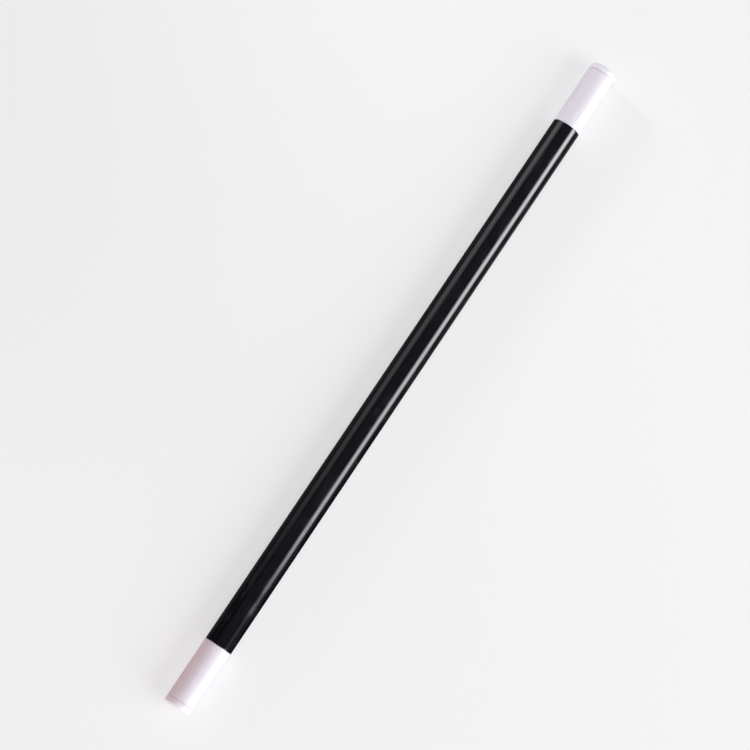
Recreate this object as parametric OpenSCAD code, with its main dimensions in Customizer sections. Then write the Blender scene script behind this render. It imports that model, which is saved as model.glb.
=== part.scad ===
// Magic wand: a black tube with a white tip pushed into each end.
// The wand lies along X, with the origin on its axis at mid-length.
// The tip end points along +X and the butt end, the end that is held, along -X.
// Both ends are the same: a coupler joins a white sleeve to the tube, and a plug closes the sleeve.

/* [Wand] */
// Outer diameter of the tube, the sleeves and the plug heads
wand_d = 11.5; // [10:0.1:14]
// Length of the black tube
tube_l = 244; // [160:1:320]
// Length of one white tip, from the end of the black tube to the end of the wand
tip_l = 28; // [27:0.5:40]
// Wall of the black tube and of the white sleeves
wall = 1; // [0.8:0.1:1.3]

/* [Cut ends] */
// Bevel on the outer edge of each cut end
edge_bevel = 0.2; // [0.1:0.05:0.3]
// Bevel on the inner edge of each cut end, which leads the ribs in
bore_bevel = 0.35; // [0.2:0.05:0.4]
// Hairline gap where two outer surfaces meet
seam = 0.08; // [0.04:0.02:0.16]

/* [Coupler] */
// Length of the coupler, half of it in the black tube and half in the sleeve
coupler_l = 30; // [20:1:32]
// Wall of the coupler
coupler_wall = 1.2; // [0.8:0.1:1.6]

/* [End plug] */
// Thickness of the plug's head, which shows at the end of the wand
head_t = 2.6; // [2:0.1:3.6]
// Radius of the rounded rim of the head
rim_r = 0.8; // [0.3:0.1:1.2]
// Length of the plug's shank inside the sleeve
shank_l = 9; // [6:0.5:10]
// Wall of the hollow shank
shank_wall = 1.2; // [0.8:0.1:1.8]
// Diameter of the gate dimple in the middle of the head
dimple_d = 3.2; // [2:0.2:5]
// Depth of the gate dimple
dimple_depth = 0.25; // [0.1:0.05:0.4]

/* [Grip ribs] */
// Number of ribs round each coupler and each shank
rib_n = 6; // [4:1:8]
// Height of a rib above the cylinder that it stands on
rib_h = 0.15; // [0.1:0.05:0.3]
// Radius of a rib's round back
rib_r = 0.5; // [0.4:0.05:0.7]
// Radial clearance between the ribs and the bore
fit_gap = 0.02; // [0.01:0.01:0.05]

/* [Hidden] */
$fn = 96;
wand_r = wand_d / 2;
bore_r = wand_r - wall;
rib_top_r = bore_r - fit_gap;
core_r = rib_top_r - rib_h;
coupler_bore_r = core_r - coupler_wall;
shank_bore_r = core_r - shank_wall;
// Bevel that leads a coupler or a shank into its bore
lead_in = 0.6;
// A rib stops this far short of each end that leads in
rib_setback = 1.2;
// Each end of a rib slopes down over this length, to a radius that lies under the cylinder's surface
rib_slope_l = 4 * rib_h;
rib_end_r = (rib_r - rib_h) / 2;
// The shank's hollow runs this far into the head, and the plug's ribs run this far into it
hollow_in_head = 1;
rib_run_in = 1.3;
sleeve_l = tip_l - head_t - 2 * seam;
rim_steps = 8;
black = [0.02, 0.02, 0.025];
white = [0.93, 0.92, 0.95];
natural = [0.86, 0.85, 0.80];

// A quarter turn of the rim, from the side of the head round to its face
function rim_arc(r, z) = [
    for (i = [0 : rim_steps])
        let (a = 90 * i / rim_steps)
        [r - rim_r + rim_r * cos(a), z - rim_r + rim_r * sin(a)]
];

// A tube on Z from z = 0 to z = l, with both of its ends bevelled inside and out
module cut_tube(l, outer_r, inner_r, outer_bevel, inner_bevel) {
    rotate_extrude()
        polygon([
            [inner_r, inner_bevel],
            [inner_r + inner_bevel, 0],
            [outer_r - outer_bevel, 0],
            [outer_r, outer_bevel],
            [outer_r, l - outer_bevel],
            [outer_r - outer_bevel, l],
            [inner_r + inner_bevel, l],
            [inner_r, l - inner_bevel]
        ]);
}

// The ribs round a cylinder on Z, from z = 0 to z = l, each sloping down where it begins and ends
module ribs(l) {
    for (i = [0 : rib_n - 1])
        rotate([0, 0, 360 * i / rib_n])
            translate([rib_top_r - rib_r, 0, 0]) {
                cylinder(h = rib_slope_l, r1 = rib_end_r, r2 = rib_r, $fn = 32);
                translate([0, 0, rib_slope_l])
                    cylinder(h = l - 2 * rib_slope_l, r = rib_r, $fn = 32);
                translate([0, 0, l - rib_slope_l])
                    cylinder(h = rib_slope_l, r1 = rib_r, r2 = rib_end_r, $fn = 32);
            }
}

// Turns a piece that stands on the tube's end plane so that it points along +X
module at_tip_end() {
    translate([tube_l / 2, 0, 0])
        rotate([0, 90, 0])
            children();
}

// The same at the other end of the wand
module at_butt_end() {
    mirror([1, 0, 0])
        at_tip_end()
            children();
}

// The black tube that runs between the two white tips
module body_tube() {
    color(black)
        translate([-tube_l / 2, 0, 0])
            rotate([0, 90, 0])
                cut_tube(tube_l, wand_r, bore_r, edge_bevel, bore_bevel);
}

// A short ribbed pipe, glued into the sleeve and pushed into the black tube
module coupler() {
    color(natural)
        difference() {
            union() {
                translate([0, 0, -coupler_l / 2])
                    cut_tube(coupler_l, core_r, coupler_bore_r, lead_in, lead_in / 3);
                translate([0, 0, rib_setback - coupler_l / 2])
                    ribs(coupler_l - 2 * rib_setback);
            }
            translate([0, 0, -coupler_l / 2])
                cylinder(h = coupler_l, r = coupler_bore_r);
        }
}

// The white tube that shows at the end of the wand
module sleeve() {
    color(white)
        translate([0, 0, seam])
            cut_tube(sleeve_l, wand_r, bore_r, edge_bevel, bore_bevel);
}

// The plug's head and hollow shank, with z = 0 under the head
module plug_blank() {
    rotate_extrude()
        polygon(concat(
            [
                [0, hollow_in_head],
                [shank_bore_r, hollow_in_head],
                [shank_bore_r, -shank_l],
                [core_r - lead_in, -shank_l],
                [core_r, lead_in - shank_l],
                [core_r, 0],
                [wand_r - edge_bevel, 0],
                [wand_r, edge_bevel]
            ],
            rim_arc(wand_r, head_t),
            [
                [dimple_d / 2, head_t],
                [dimple_d / 2 - dimple_depth, head_t - dimple_depth],
                [0, head_t - dimple_depth]
            ]
        ));
}

// The plug that closes the sleeve: a flat round head on a hollow ribbed shank
module plug() {
    color(white)
        translate([0, 0, tip_l - head_t]) {
            plug_blank();
            difference() {
                translate([0, 0, rib_setback - shank_l])
                    ribs(shank_l - rib_setback + rib_run_in);
                translate([0, 0, -shank_l])
                    cylinder(h = shank_l + rib_run_in, r = (shank_bore_r + core_r) / 2);
            }
        }
}

body_tube();
at_tip_end() coupler();  // tip_coupler
at_tip_end() sleeve();  // tip_sleeve
at_tip_end() plug();  // tip_plug
at_butt_end() coupler();  // butt_coupler
at_butt_end() sleeve();  // butt_sleeve
at_butt_end() plug();  // butt_plug
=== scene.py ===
# %% [markdown]
# # A magic wand in seven pieces
# This lesson dresses a plain hollow magic wand: a glossy black tube with a white tip pushed into
# each end. The engineering model fixes every size and every joint. Here each piece gets the rounded
# edges, seams and surface that the real one has, so that the wand looks right from all sides and
# when its tips and end plugs are pulled off.
#
# The wand lies along X. Its tip end points along +X and its butt end, which is held, along -X.

# %% Load the fixed frame
import math

import bmesh
import bpy
from mathutils import Matrix, Vector


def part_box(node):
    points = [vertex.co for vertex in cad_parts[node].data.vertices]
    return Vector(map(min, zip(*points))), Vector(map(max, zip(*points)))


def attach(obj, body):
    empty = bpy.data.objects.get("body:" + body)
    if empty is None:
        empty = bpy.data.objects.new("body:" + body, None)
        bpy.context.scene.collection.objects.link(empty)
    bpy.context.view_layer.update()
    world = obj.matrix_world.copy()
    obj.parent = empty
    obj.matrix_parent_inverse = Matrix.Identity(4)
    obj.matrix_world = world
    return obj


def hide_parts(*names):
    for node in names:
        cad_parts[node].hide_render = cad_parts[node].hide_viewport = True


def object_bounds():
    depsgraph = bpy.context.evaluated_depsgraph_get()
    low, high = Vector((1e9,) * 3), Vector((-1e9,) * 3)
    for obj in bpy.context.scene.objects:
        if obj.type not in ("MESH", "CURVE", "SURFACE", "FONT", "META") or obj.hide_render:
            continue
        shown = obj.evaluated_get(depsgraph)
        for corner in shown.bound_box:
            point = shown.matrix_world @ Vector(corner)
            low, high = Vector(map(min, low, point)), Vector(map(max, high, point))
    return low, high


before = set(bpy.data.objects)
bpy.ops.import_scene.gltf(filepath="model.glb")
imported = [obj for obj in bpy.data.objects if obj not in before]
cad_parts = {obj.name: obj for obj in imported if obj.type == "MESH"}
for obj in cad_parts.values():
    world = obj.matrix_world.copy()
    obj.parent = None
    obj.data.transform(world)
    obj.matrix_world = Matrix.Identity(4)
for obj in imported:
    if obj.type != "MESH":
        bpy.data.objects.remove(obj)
cad_low, cad_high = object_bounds()
print("engineering box in mm:", [round(1000 * side, 2) for side in cad_high - cad_low])

# %% [markdown]
# ## Sizes
# The places of all pieces are read from the frame, so nothing here can drift away from the joints.
# Small sizes that a bounding box can't give, such as a wall or a bevel, are named below, in
# millimetres times `MM`, because Blender works in metres.

# %% Read the sizes
MM = 0.001
WALL = 1.0 * MM
CUT_BEVEL = 0.2 * MM
WHITE_BEVEL = 0.12 * MM
BORE_BEVEL = 0.35 * MM
COUPLER_WALL = 1.2 * MM
SHANK_WALL = 1.2 * MM
LEAD_IN = 0.6 * MM
RIB_HEIGHT = 0.15 * MM

tube_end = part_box("body_tube")[1].x
wand_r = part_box("body_tube")[1].z
bore_r = wand_r - WALL
rib_top_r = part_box("tip_coupler")[1].z
core_r = rib_top_r - RIB_HEIGHT
coupler_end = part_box("tip_coupler")[1].x
sleeve_start, sleeve_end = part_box("tip_sleeve")[0].x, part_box("tip_sleeve")[1].x
shank_end, wand_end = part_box("tip_plug")[0].x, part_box("tip_plug")[1].x
head_start = sleeve_end + (sleeve_start - tube_end)
print("outer radius", round(wand_r / MM, 3), "bore radius", round(bore_r / MM, 3))
print("the tip reaches from", round(tube_end / MM, 2), "to", round(wand_end / MM, 2))

# %% [markdown]
# ## Camera
# The wand is seen from above, with its tip pointing up and to the right and leaning a little away
# from the viewer. A long lens from a metre away keeps the tube's sides almost parallel. The camera
# is turned first about its own line of sight and then about Y, and is backed off along that line.

# %% Place the camera
LENS = 124
CAMERA_DISTANCE = 1.0
WAND_SLANT = math.radians(56.05)
CAMERA_LEAN = math.radians(8)
AIM = Vector((-1.95, 8.1, 0)) * MM

camera_data = bpy.data.cameras.new("camera")
camera_data.lens = LENS
camera = bpy.data.objects.new("camera", camera_data)
bpy.context.scene.collection.objects.link(camera)
camera_turn = Matrix.Rotation(-CAMERA_LEAN, 4, "Y") @ Matrix.Rotation(-WAND_SLANT, 4, "Z")
backed_off = Matrix.Translation((0, 0, CAMERA_DISTANCE))
camera.matrix_world = Matrix.Translation(AIM) @ camera_turn @ backed_off
bpy.context.scene.camera = camera
print("camera stands at", [round(value, 3) for value in camera.matrix_world.translation])

# %% [markdown]
# ## Building materials from nodes
# Every finish and every glowing card below is a small tree of nodes. A few short helpers keep the
# trees readable: they add a node and fill its inputs, do a sum, or map one range onto another.

# %% Helpers for node trees


def fill(tree, socket, value):
    """Gives a socket a plain value, or links it to the output that feeds it."""
    if isinstance(value, bpy.types.NodeSocket):
        tree.links.new(value, socket)
    else:
        socket.default_value = value


def add_node(tree, kind, settings=None, **inputs):
    """Adds a node with these settings, and fills the named inputs."""
    node = tree.nodes.new(kind)
    for name, value in (settings or {}).items():
        setattr(node, name, value)
    for name, value in inputs.items():
        fill(tree, node.inputs[name.replace("_", " ")], value)
    return node


def compute(tree, operation, first, second=0.0):
    """One Math node."""
    node = add_node(tree, "ShaderNodeMath", {"operation": operation})
    fill(tree, node.inputs[0], first)
    fill(tree, node.inputs[1], second)
    return node.outputs["Value"]


def remap(tree, value, low, high, to_low=0.0, to_high=1.0):
    """Maps low to high smoothly onto to_low to to_high, and stays level outside them."""
    node = add_node(
        tree, "ShaderNodeMapRange", {"interpolation_type": "SMOOTHSTEP"},
        Value=value, From_Min=low, From_Max=high, To_Min=to_low, To_Max=to_high,
    )
    return node.outputs["Result"]


def follow(tree, value, stops):
    """Follows straight lines from stop to stop. A stop is a (value, result) pair, results up to 1."""
    first, last = stops[0][0], stops[-1][0]
    share = compute(tree, "DIVIDE", compute(tree, "SUBTRACT", value, first), last - first)
    ramp = add_node(tree, "ShaderNodeValToRGB", Fac=share)
    elements = ramp.color_ramp.elements
    for place, _ in stops[1:-1]:
        elements.new((place - first) / (last - first))
    for element, (_, level) in zip(elements, stops):
        element.color = (level, level, level, 1)
    return ramp.outputs["Color"]


# %% [markdown]
# ## Floor and light
# A glossy tube and a white plastic ask for different lights. The tube shows every light as a stripe,
# and hardly notices how bright the rest of the room is. White plastic shows the sum of all the
# light that falls on it, and hardly notices a stripe. So there are two sets. Glowing cards are seen
# only in the gloss, and softboxes light only the matt part of a surface. The floor is a light
# table, a pale sheet that also glows, so that shadows stay soft and it looks clean all round.

# %% Lay the floor
FLOOR_SIZE = 30.0
FLOOR_GLOW = 0.58
floor_mesh = bpy.data.meshes.new("floor")
floor_bm = bmesh.new()
bmesh.ops.create_grid(floor_bm, x_segments=1, y_segments=1, size=FLOOR_SIZE / 2)
bmesh.ops.translate(floor_bm, vec=(0, 0, cad_low.z), verts=floor_bm.verts)
floor_bm.to_mesh(floor_mesh)
floor_bm.free()
floor = bpy.data.objects.new("floor", floor_mesh)
bpy.context.scene.collection.objects.link(floor)
floor.visible_glossy = False
light_table = bpy.data.materials.new("light_table")
light_table.use_nodes = True
table_shader = light_table.node_tree.nodes["Principled BSDF"]
table_shader.inputs["Base Color"].default_value = (0.33, 0.33, 0.33, 1)
table_shader.inputs["Roughness"].default_value = 0.9
table_shader.inputs["Specular IOR Level"].default_value = 0.1
table_shader.inputs["Emission Color"].default_value = (1, 1, 1, 1)
table_shader.inputs["Emission Strength"].default_value = FLOOR_GLOW
floor_mesh.materials.append(light_table)
print("the floor lies at", round(cad_low.z / MM, 2), "mm")

# %% [markdown]
# A card's place is worked out from the stripe that it has to draw. From above, the surface that
# leans by `a` mirrors what lies at a zenith angle of `2a`. One card on the -Y side draws the bright
# line, and a dim one on the +Y side the broad grey sheen. Both have soft edges, and nothing hangs
# overhead, so the middle of the tube stays black. A third card is very dim and hangs below the floor,
# which a glossy surface doesn't see. It draws a soft pale rim along the tube's -Y edge. All of them
# die away towards the butt end, where they are masked. Past the mask they go on, for someone who
# looks from the tip end.

# %% Hang the three glowing cards
CARD_DISTANCE = 0.9


def hang_card(name, zenith_angle, reach, stops, radiance, colour):
    """A glowing card that faces the wand. It's brightest along its middle line and fades out
    at reach on both sides of it. Along X it follows stops, pairs of a place and a share."""
    start, end = stops[0][0], stops[-1][0]
    card_bm = bmesh.new()
    bmesh.ops.create_grid(card_bm, x_segments=1, y_segments=1, size=0.5)
    bmesh.ops.scale(card_bm, vec=(end - start, 2 * reach, 1), verts=card_bm.verts)
    bmesh.ops.translate(card_bm, vec=((start + end) / 2, 0, CARD_DISTANCE), verts=card_bm.verts)
    mesh = bpy.data.meshes.new(name)
    card_bm.to_mesh(mesh)
    card_bm.free()
    card = bpy.data.objects.new(name, mesh)
    bpy.context.scene.collection.objects.link(card)
    card.matrix_world = Matrix.Rotation(math.radians(zenith_angle), 4, "X")
    card.visible_camera = card.visible_diffuse = card.visible_shadow = False
    glow = bpy.data.materials.new(name)
    glow.use_nodes = True
    tree = glow.node_tree
    tree.nodes.clear()
    place = add_node(tree, "ShaderNodeTexCoord").outputs["Object"]
    split = add_node(tree, "ShaderNodeSeparateXYZ", Vector=place)
    across = remap(tree, compute(tree, "ABSOLUTE", split.outputs["Y"]), 0, reach, 1, 0)
    share = compute(tree, "MULTIPLY", across, follow(tree, split.outputs["X"], stops))
    strength = compute(tree, "MULTIPLY", share, radiance)
    emission = add_node(tree, "ShaderNodeEmission", Color=(*colour, 1), Strength=strength)
    add_node(tree, "ShaderNodeOutputMaterial", Surface=emission.outputs["Emission"])
    mesh.materials.append(glow)
    print(name, "hangs at a zenith angle of", zenith_angle, "degrees")


butt_half = [(-2.2, 0), (-1.2, 1), (-0.40, 1), (-0.22, 0.15), (-0.12, 0.03), (-0.07, 0.03)]
tip_half = [(0.4, 1), (1.2, 1), (2.2, 0)]
hang_card(
    "bright_card", 65, reach=0.43, stops=butt_half + [(0.0, 0.58)] + tip_half,
    radiance=13, colour=(0.97, 0.98, 1.0),
)
hang_card(
    "sheen_card", -65, reach=0.60, stops=butt_half + [(0.03, 0.30)] + tip_half,
    radiance=1.7, colour=(1.0, 0.97, 1.0),
)
rim_stops = [(-2.2, 0), (-1.2, 1), (-0.40, 1), (-0.20, 0), (0.07, 0), (0.25, 1), (1.2, 1), (2.2, 0)]
hang_card(
    "rim_card", 150, reach=0.80, stops=rim_stops,
    radiance=0.30, colour=(0.97, 0.97, 1.0),
)

# %% [markdown]
# A big softbox low on the -Y side is the key light, and one overhead keeps the tops of the tips
# pale. Each tip has a small fill on the +Y side, with a grid that keeps its light off the other tip.
# The tip's own fill is strong and white. The butt end's is weak and warm, as though a hand were
# near it. The last softbox lights the butt end's face.

# %% Set the softboxes
tip_middle = Vector(((tube_end + wand_end) / 2, 0, 0))


def set_softbox(name, place, aim, size, level, colour, beam=180):
    """A square softbox. White paper that it shines on squarely, at aim, is about as bright as level.
    A grid can narrow its beam to fewer degrees."""
    way = Vector(place) - aim
    half_beam = math.radians(beam) / 2
    gain = math.tan(half_beam) / (math.tan(half_beam) - half_beam)
    lamp = bpy.data.lights.new(name, "AREA")
    lamp.shape = "SQUARE"
    lamp.size = size
    lamp.spread = math.radians(beam)
    lamp.energy = level * (math.pi * way.length) ** 2 / gain
    lamp.color = colour
    softbox = bpy.data.objects.new(name, lamp)
    bpy.context.scene.collection.objects.link(softbox)
    facing = way.to_track_quat("Z", "Y").to_matrix().to_4x4()
    softbox.matrix_world = Matrix.Translation(place) @ facing
    softbox.visible_camera = softbox.visible_glossy = False
    print(name, "stands", round(way.length, 2), "m away")


middle = Vector((0, 0, 0))
set_softbox("key", (0, -1.90, 1.10), middle, 1.7, 1.10, (0.97, 0.98, 1.0))
set_softbox("top", (0, 0, 2.0), middle, 1.5, 0.29, (0.94, 0.95, 1.0))
set_softbox("tip_fill", (0.30, 0.66, 0.24), tip_middle, 0.15, 0.74, (1.0, 0.93, 0.98), beam=30)
set_softbox("butt_fill", (-0.30, 0.66, 0.24), -tip_middle, 0.15, 0.38, (1.0, 0.52, 0.48), beam=30)
set_softbox("butt_side", (-1.40, -0.10, 0.16), middle, 0.3, 0.40, (0.98, 0.98, 1.0))

# %% [markdown]
# The world is dim, so that it adds no haze to the gloss. Only the camera sees it as pale, where the
# view reaches past the edge of the floor.

# %% Fill the room
ROOM_DIM, ROOM_PALE = 0.10, 0.85
world = bpy.data.worlds.new("studio")
world.use_nodes = True
room = world.node_tree
seen = add_node(room, "ShaderNodeLightPath").outputs["Is Camera Ray"]
background = room.nodes["Background"]
background.inputs["Color"].default_value = (0.93, 0.91, 0.97, 1)
fill(room, background.inputs["Strength"], remap(room, seen, 0, 1, ROOM_DIM, ROOM_PALE))
bpy.context.scene.world = world
bpy.context.scene.view_settings.view_transform = "Standard"

# %% [markdown]
# ## How a round piece is made
# Every piece of the wand is round, so each starts as a few corner points in the X-Z plane, which a
# full spin about X turns into a shell. The sharp rims are bevelled afterwards, where the ring of
# edges at a given place and radius is easy to pick out. A plain cylinder from the menu would give
# neither the wall nor the worn, rounded rims that catch the light on a real tube.

# %% Helpers for round pieces
AROUND = 144
NEAR = 0.004 * MM


def spin_outline(outline, closed):
    """A shell from corner points (x, radius), spun once round the X axis."""
    shell = bmesh.new()
    corners = [shell.verts.new((x, 0, radius)) for x, radius in outline]
    pairs = list(zip(corners, corners[1:]))
    if closed:
        pairs.append((corners[-1], corners[0]))
    edges = [shell.edges.new(pair) for pair in pairs]
    bmesh.ops.spin(
        shell, geom=corners + edges, cent=(0, 0, 0), axis=(1, 0, 0),
        angle=math.tau, steps=AROUND, use_merge=True,
    )
    bmesh.ops.remove_doubles(shell, verts=shell.verts, dist=NEAR / 100)
    bmesh.ops.recalc_face_normals(shell, faces=shell.faces)
    return shell


def radius_of(point):
    """Distance of a point from the wand's axis."""
    return math.hypot(point.y, point.z)


def round_rim(shell, x, radius, size, segments):
    """Bevels the ring of edges at place x and this radius."""
    on_rim = {
        vert for vert in shell.verts
        if abs(vert.co.x - x) < NEAR and abs(radius_of(vert.co) - radius) < NEAR
    }
    ring = [edge for edge in shell.edges if on_rim.issuperset(edge.verts)]
    bmesh.ops.bevel(
        shell, geom=ring, offset=size, offset_type="OFFSET", segments=segments,
        profile=0.5, affect="EDGES", material=-1,
    )


def cut_across(shell, x):
    """Adds a ring of edges at place x."""
    geometry = shell.verts[:] + shell.edges[:] + shell.faces[:]
    bmesh.ops.bisect_plane(
        shell, geom=geometry, dist=NEAR / 100, plane_co=(x, 0, 0), plane_no=(1, 0, 0),
    )


def finish_piece(shell, name, body, node):
    """Turns a shell into a smooth piece that rides on a body and stands for an engineering node."""
    bmesh.ops.recalc_face_normals(shell, faces=shell.faces)
    mesh = bpy.data.meshes.new(name)
    shell.to_mesh(mesh)
    shell.free()
    mesh.shade_smooth()
    piece = bpy.data.objects.new(name, mesh)
    bpy.context.scene.collection.objects.link(piece)
    weighted = piece.modifiers.new("even_shading", "WEIGHTED_NORMAL")
    weighted.mode = "FACE_AREA"
    weighted.weight = 50
    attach(piece, body)
    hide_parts(node)
    print(name, "has", len(mesh.polygons), "faces")
    return piece


# %% [markdown]
# ## The black tube and the white sleeves
# The long body and both sleeves are lengths of extruded tube, sawn square and deburred. Their
# outline is a rectangle beside the axis. Each end gets a small round on the outside, which draws the
# fine line at every seam, and a wider one in the bore, which leads the ribs of the pushed-in part.
# The white parts keep crisper edges than the black tube, so the seam at a plug is only a faint line.

# %% Cut the tubes
RIM_SEGMENTS = 4
SUPPORT = 0.5 * MM


def cut_tube(start, end, bevel, rings):
    """A length of tube with rounded ends, divided along its length into equal rings."""
    outline = [(start, bore_r), (end, bore_r), (end, wand_r), (start, wand_r)]
    tube = spin_outline(outline, closed=True)
    for x in (start, end):
        round_rim(tube, x, wand_r, bevel, RIM_SEGMENTS)
        round_rim(tube, x, bore_r, BORE_BEVEL, RIM_SEGMENTS)
    inner_start, inner_end = start + SUPPORT, end - SUPPORT
    for ring in range(rings + 1):
        cut_across(tube, inner_start + (inner_end - inner_start) * ring / rings)
    return tube


ENDS = {"tip": 1, "butt": -1}
pieces = {}
pieces["body_tube"] = finish_piece(
    cut_tube(-tube_end, tube_end, CUT_BEVEL, rings=24),
    "black_tube", "wand_body", "body_tube",
)
for end, side in ENDS.items():
    low, high = sorted((side * sleeve_start, side * sleeve_end))
    pieces[end + "_sleeve"] = finish_piece(
        cut_tube(low, high, WHITE_BEVEL, rings=4),
        end + "_white_sleeve", end + "_end", end + "_sleeve",
    )

# %% [markdown]
# ## Ribs that grip
# Six low ribs round each pushed-in part bite on the bore and hold the joint by friction. Each rib is
# raised from the finished cylinder: the four faces under it are inset and lifted in one step, which
# gives it sloping sides and ends like a moulded rib, and its top edges are then rounded.

# %% Helper for the ribs
RIBS = 6
RIB_SPAN = math.radians(10)
RIB_SLOPE = 0.2 * MM
RIB_SETBACK = 1.2 * MM


def raise_ribs(shell, start, end):
    """Raises the ribs on the cylinder of radius core_r between two places."""
    low, high = sorted((start, end))
    for x in (low, high):
        cut_across(shell, x)
    under_ribs = []
    for face in shell.faces:
        centre = face.calc_center_median()
        angle = math.atan2(centre.y, centre.z)
        off_rib = abs((angle + math.pi / RIBS) % (math.tau / RIBS) - math.pi / RIBS)
        on_core = all(abs(radius_of(vert.co) - core_r) < NEAR for vert in face.verts)
        if on_core and low < centre.x < high and off_rib < RIB_SPAN / 2:
            under_ribs.append(face)
    bmesh.ops.inset_region(
        shell, faces=under_ribs, thickness=RIB_SLOPE, depth=rib_top_r - core_r,
        use_even_offset=True, use_boundary=True,
    )
    tops = set(under_ribs)
    top_edges = [edge for edge in shell.edges if sum(face in tops for face in edge.link_faces) == 1]
    bmesh.ops.bevel(
        shell, geom=top_edges, offset=RIB_SLOPE / 3, offset_type="OFFSET", segments=2,
        profile=0.5, affect="EDGES", material=-1,
    )


# %% [markdown]
# ## The couplers
# A coupler is a short moulded pipe. Half of it is fixed in the white sleeve and the other half is
# pushed into the black tube, so it shows only when a tip is pulled off.

# %% Mould the couplers
coupler_bore_r = core_r - COUPLER_WALL
for end, side in ENDS.items():
    inner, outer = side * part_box("tip_coupler")[0].x, side * coupler_end
    outline = [(inner, coupler_bore_r), (outer, coupler_bore_r), (outer, core_r), (inner, core_r)]
    coupler = spin_outline(outline, closed=True)
    for x in (inner, outer):
        round_rim(coupler, x, core_r, LEAD_IN, segments=3)
        round_rim(coupler, x, coupler_bore_r, LEAD_IN / 3, segments=2)
    raise_ribs(coupler, inner + side * RIB_SETBACK, outer - side * RIB_SETBACK)
    pieces[end + "_coupler"] = finish_piece(
        coupler, end + "_ribbed_coupler", end + "_end", end + "_coupler",
    )

# %% [markdown]
# ## The end plugs
# An end plug is one moulding: a flat head that shows at the end of the wand, and a hollow ribbed
# shank. Its rim is well rounded. In the middle of the head is the shallow dimple where the plastic
# entered the mould, with the small stub left where it was cut off.

# %% Mould the end plugs
HOLLOW_IN_HEAD = 1.0 * MM
HEAD_ROUND = 0.8 * MM
DIMPLE_R = 1.6 * MM
DIMPLE_DEPTH = 0.25 * MM
STUB_R = 0.45 * MM
STUB_HEIGHT = 0.12 * MM
HOLLOW_ROUND, DIMPLE_ROUND, STUB_ROUND = 0.3 * MM, 0.1 * MM, 0.05 * MM
shank_bore_r = core_r - SHANK_WALL
dimple_floor = wand_end - DIMPLE_DEPTH
for end, side in ENDS.items():
    outline = [
        (head_start + HOLLOW_IN_HEAD, 0),
        (head_start + HOLLOW_IN_HEAD, shank_bore_r),
        (shank_end, shank_bore_r),
        (shank_end, core_r),
        (head_start, core_r),
        (head_start, wand_r),
        (wand_end, wand_r),
        (wand_end, DIMPLE_R),
        (dimple_floor, DIMPLE_R - DIMPLE_DEPTH),
        (dimple_floor, STUB_R),
        (dimple_floor + STUB_HEIGHT, STUB_R),
        (dimple_floor + STUB_HEIGHT, 0),
    ]
    plug = spin_outline([(side * x, radius) for x, radius in outline], closed=False)
    round_rim(plug, side * (head_start + HOLLOW_IN_HEAD), shank_bore_r, HOLLOW_ROUND, segments=3)
    round_rim(plug, side * shank_end, core_r, LEAD_IN, segments=3)
    round_rim(plug, side * shank_end, shank_bore_r, LEAD_IN / 3, segments=2)
    round_rim(plug, side * head_start, wand_r, WHITE_BEVEL, RIM_SEGMENTS)
    round_rim(plug, side * wand_end, wand_r, HEAD_ROUND, segments=10)
    round_rim(plug, side * wand_end, DIMPLE_R, DIMPLE_ROUND, segments=3)
    round_rim(plug, side * (dimple_floor + STUB_HEIGHT), STUB_R, STUB_ROUND, segments=2)
    raise_ribs(plug, side * (shank_end + RIB_SETBACK), side * (head_start - RIB_SETBACK / 4))
    pieces[end + "_plug"] = finish_piece(
        plug, end + "_end_plug", end + "_end_plug", end + "_plug",
    )

# %% [markdown]
# ## The finishes
# Object coordinates are metres in the wand's own frame, so a grain that is given in millimetres
# keeps its real size on every piece, and stays on the surface when a tip slides. All of these
# patterns are noise, stretched along X for an extruded tube and the same every way for a moulding.
# Heights are real too: a die line is a micrometre deep or less, far too shallow to see except in
# the way that it frays the edge of a reflection.

# %% Helpers for the finishes


def start_plastic(name, ior):
    """A new plastic. Gives back the material, its tree, its shader and where a point is."""
    plastic = bpy.data.materials.new(name)
    plastic.use_nodes = True
    tree = plastic.node_tree
    shader = tree.nodes["Principled BSDF"]
    shader.inputs["IOR"].default_value = ior
    place = add_node(tree, "ShaderNodeTexCoord").outputs["Object"]
    return plastic, tree, shader, place


def grain(tree, place, length, width, detail=2.0, offset=(0, 0, 0)):
    """Noise whose grains are so long along X and so wide round the piece, in metres."""
    stretch = add_node(
        tree, "ShaderNodeMapping", Vector=place, Location=offset, Scale=(1 / length, 1 / width, 1 / width),
    )
    noise = add_node(tree, "ShaderNodeTexNoise", Vector=stretch.outputs["Vector"], Scale=1.0, Detail=detail)
    return noise.outputs["Fac"]


def raise_surface(tree, layers):
    """Stacks (height map, height in metres) layers into one normal."""
    normal = None
    for height_map, height in layers:
        bump = add_node(tree, "ShaderNodeBump", Height=height_map, Distance=height, Strength=1.0)
        if normal is not None:
            tree.links.new(normal, bump.inputs["Normal"])
        normal = bump.outputs["Normal"]
    return normal


def blend_colours(tree, share, first, second):
    """Goes from one colour to another as share goes from 0 to 1."""
    mix = add_node(tree, "ShaderNodeMix", {"data_type": "RGBA"})
    fill(tree, mix.inputs["Factor"], share)
    fill(tree, mix.inputs[6], first)
    fill(tree, mix.inputs[7], second)
    return mix.outputs[2]


def near_places(tree, x, places, reach):
    """1 at any of these distances from the middle of the wand, fading to 0 within reach."""
    from_middle = compute(tree, "ABSOLUTE", x)
    total = 0.0
    for where in places:
        gap = compute(tree, "ABSOLUTE", compute(tree, "SUBTRACT", from_middle, where))
        total = compute(tree, "MAXIMUM", total, remap(tree, gap, 0, reach, 1, 0))
    return total


# %% [markdown]
# ## Glossy black
# The tube is extruded and comes out of the die nearly as shiny as glass. Its gloss is broken by fine
# lines along it, by slow waves in the wall, by smears all over it and by a few hairline
# scratches. The sawn end faces are dull and streaked, and their rims are worn a little grey.

# %% Make the glossy black


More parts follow.
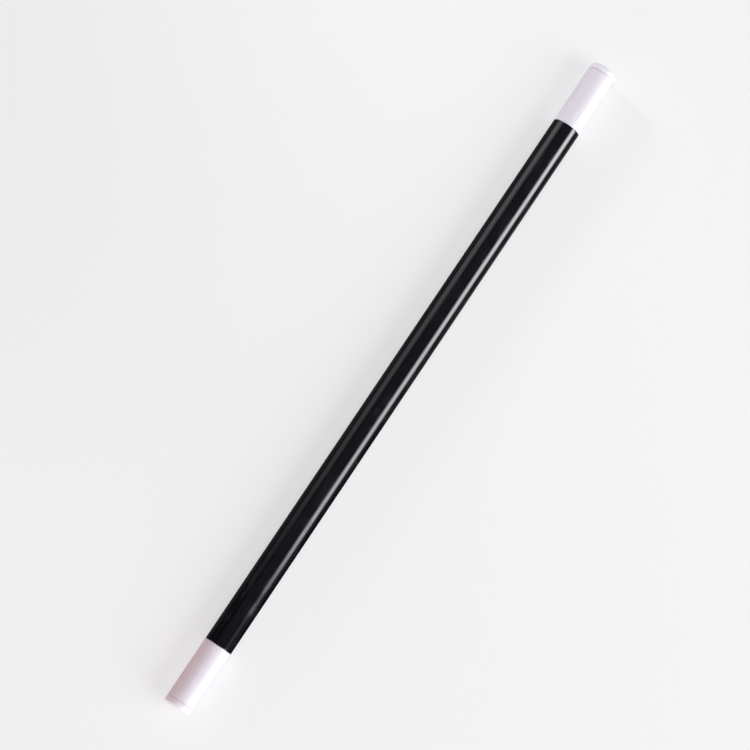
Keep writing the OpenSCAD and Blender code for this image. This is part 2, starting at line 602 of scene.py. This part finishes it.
def glossy_black():
    """Extruded black polystyrene."""
    plastic, tree, shader, place = start_plastic("glossy_black", ior=1.59)
    x = add_node(tree, "ShaderNodeSeparateXYZ", Vector=place).outputs["X"]

    smears = remap(tree, grain(tree, place, 9 * MM, 4 * MM, detail=3.0), 0.40, 0.66)
    contour = compute(tree, "SUBTRACT", grain(tree, place, 25 * MM, 1.6 * MM, detail=1.0), 0.5)
    lines = remap(tree, compute(tree, "ABSOLUTE", contour), 0.001, 0.004, 1, 0)
    few = remap(tree, grain(tree, place, 9 * MM, 3 * MM, detail=1.0, offset=(3, 7, 1)), 0.58, 0.66)
    hairlines = compute(tree, "MULTIPLY", lines, few)
    sawn = near_places(tree, x, [tube_end], 0.12 * MM)
    rim = near_places(tree, x, [tube_end], 0.7 * MM)
    worn = compute(tree, "MULTIPLY", rim, remap(tree, grain(tree, place, 0.6 * MM, 0.9 * MM), 0.45, 0.7))

    colour = blend_colours(tree, smears, (0.0040, 0.0034, 0.0052, 1), (0.0062, 0.0056, 0.0074, 1))
    colour = blend_colours(tree, compute(tree, "MULTIPLY", hairlines, 0.5), colour, (0.05, 0.05, 0.055, 1))
    colour = blend_colours(tree, compute(tree, "MULTIPLY", worn, 0.5), colour, (0.035, 0.034, 0.038, 1))
    fill(tree, shader.inputs["Base Color"], colour)

    rough = remap(tree, smears, 0, 1, 0.07, 0.18)
    rough = compute(tree, "ADD", rough, compute(tree, "MULTIPLY", hairlines, 0.2))
    rough = compute(tree, "MAXIMUM", rough, compute(tree, "MULTIPLY", sawn, 0.55))
    fill(tree, shader.inputs["Roughness"], rough)

    saw_marks = compute(tree, "MULTIPLY", sawn, grain(tree, place, 1.0, 0.15 * MM, detail=3.0))
    normal = raise_surface(tree, [
        (grain(tree, place, 25 * MM, 12 * MM, detail=1.0), 0.045 * MM),
        (grain(tree, place, 45 * MM, 0.30 * MM, detail=2.0), 0.0006 * MM),
        (hairlines, -0.0015 * MM),
        (saw_marks, 0.03 * MM),
    ])
    fill(tree, shader.inputs["Normal"], normal)
    return plastic


# %% [markdown]
# ## Milky white
# The sleeves and the plugs are a white plastic with a faint lilac tint, and light soaks a little way
# into it. The sleeves are extruded, so they have fine lines along them. The plugs are moulded, so
# their grain runs the same every way, and they come from another batch that is a shade paler. Both
# have a clouded gloss and a fine speckle of pigment. The seams and the dimple are darkened by
# painted shade, with a trace of grime in it.

# %% Make the whites
SLEEVE_WHITES = ((0.83, 0.79, 0.85, 1), (0.81, 0.775, 0.82, 1))
PLUG_WHITES = ((0.88, 0.845, 0.89, 1), (0.86, 0.825, 0.86, 1))
# A grey-brown that paints shade into the seams and the dimple, mixed with a trace of grime.
SEAM_SHADE_AND_GRIME = (0.42, 0.38, 0.37, 1)


def milky_white(name, whites, texture, seams, seam_shade_reach):
    """White plastic, speckled with two whites. texture(tree, place) gives the surface's layers, and
    painted shade with a trace of dirt darkens the seams."""
    plastic, tree, shader, place = start_plastic(name, ior=1.52)
    x = add_node(tree, "ShaderNodeSeparateXYZ", Vector=place).outputs["X"]
    clouds = remap(tree, grain(tree, place, 12 * MM, 7 * MM, detail=2.0), 0.30, 0.70)
    pigment = remap(tree, grain(tree, place, 0.35 * MM, 0.25 * MM, detail=2.0), 0.25, 0.75)
    patchy = remap(tree, grain(tree, place, 1.5 * MM, 1.1 * MM, detail=3.0), 0.35, 0.75, 0.25, 1.0)
    # Painted shade: darker near the seams and the dimple, made patchy like grime.
    seam_shade_and_dirt = compute(tree, "MULTIPLY", near_places(tree, x, seams, seam_shade_reach), patchy)

    colour = blend_colours(tree, pigment, *whites)
    # Mixes the painted seam shade and grime into the white.
    colour = blend_colours(tree, compute(tree, "MULTIPLY", seam_shade_and_dirt, 0.12), colour, SEAM_SHADE_AND_GRIME)
    fill(tree, shader.inputs["Base Color"], colour)
    fill(tree, shader.inputs["Roughness"], remap(tree, clouds, 0, 1, 0.29, 0.37))
    shader.inputs["Subsurface Weight"].default_value = 0.25
    shader.inputs["Subsurface Radius"].default_value = (1.0, 0.8, 0.75)
    shader.inputs["Subsurface Scale"].default_value = 0.8 * MM
    fill(tree, shader.inputs["Normal"], raise_surface(tree, texture(tree, place)))
    return plastic


def drawn_lines(tree, place):
    """Lines along an extruded tube, on top of slow waves in its wall."""
    return [
        (grain(tree, place, 25 * MM, 9 * MM, detail=1.0), 0.030 * MM),
        (grain(tree, place, 40 * MM, 0.35 * MM, detail=2.0), 0.0010 * MM),
    ]


def mould_texture(tree, place):
    """The slight sink and the fine stippling of a moulding."""
    return [
        (grain(tree, place, 6 * MM, 6 * MM, detail=1.0), 0.040 * MM),
        (grain(tree, place, 0.25 * MM, 0.25 * MM, detail=3.0), 0.0015 * MM),
    ]


# %% [markdown]
# ## Unpigmented plastic
# Nobody sees the couplers, so they are moulded without any pigment: a waxy, yellowish grey that
# lets light through. Their grain runs round them, because the mould was turned on a lathe.

# %% Make the unpigmented plastic


def natural_wax():
    """Unpigmented polyethylene."""
    plastic, tree, shader, place = start_plastic("natural_wax", ior=1.51)
    flow = remap(tree, grain(tree, place, 9 * MM, 2.5 * MM, detail=3.0), 0.35, 0.7)
    colour = blend_colours(tree, flow, (0.72, 0.70, 0.61, 1), (0.66, 0.635, 0.53, 1))
    fill(tree, shader.inputs["Base Color"], colour)
    fill(tree, shader.inputs["Roughness"], remap(tree, flow, 0, 1, 0.38, 0.50))
    shader.inputs["Subsurface Weight"].default_value = 0.6
    shader.inputs["Subsurface Radius"].default_value = (1.0, 0.9, 0.7)
    shader.inputs["Subsurface Scale"].default_value = 1.5 * MM
    normal = raise_surface(tree, [
        (grain(tree, place, 3 * MM, 3 * MM, detail=2.0), 0.03 * MM),
        (grain(tree, place, 0.12 * MM, 6 * MM, detail=2.0), 0.002 * MM),
    ])
    fill(tree, shader.inputs["Normal"], normal)
    return plastic


# %% [markdown]
# ## Who wears what
# The tube is black, the sleeves and plugs are white with their own grain, and the couplers are
# unpigmented. The dimple is a second place where painted shade and grime darken a plug.

# %% Dress the pieces
finishes = {
    "tube": glossy_black(),
    "sleeve": milky_white(
        "drawn_white", SLEEVE_WHITES, drawn_lines, [sleeve_start, sleeve_end], 0.8 * MM,
    ),
    "plug": milky_white(
        "moulded_white", PLUG_WHITES, mould_texture, [head_start, dimple_floor], 0.6 * MM,
    ),
    "coupler": natural_wax(),
}
for node, piece in pieces.items():
    finish = finishes[node.split("_")[-1]]
    piece.data.materials.append(finish)
    print(piece.name, "is finished in", finish.name)
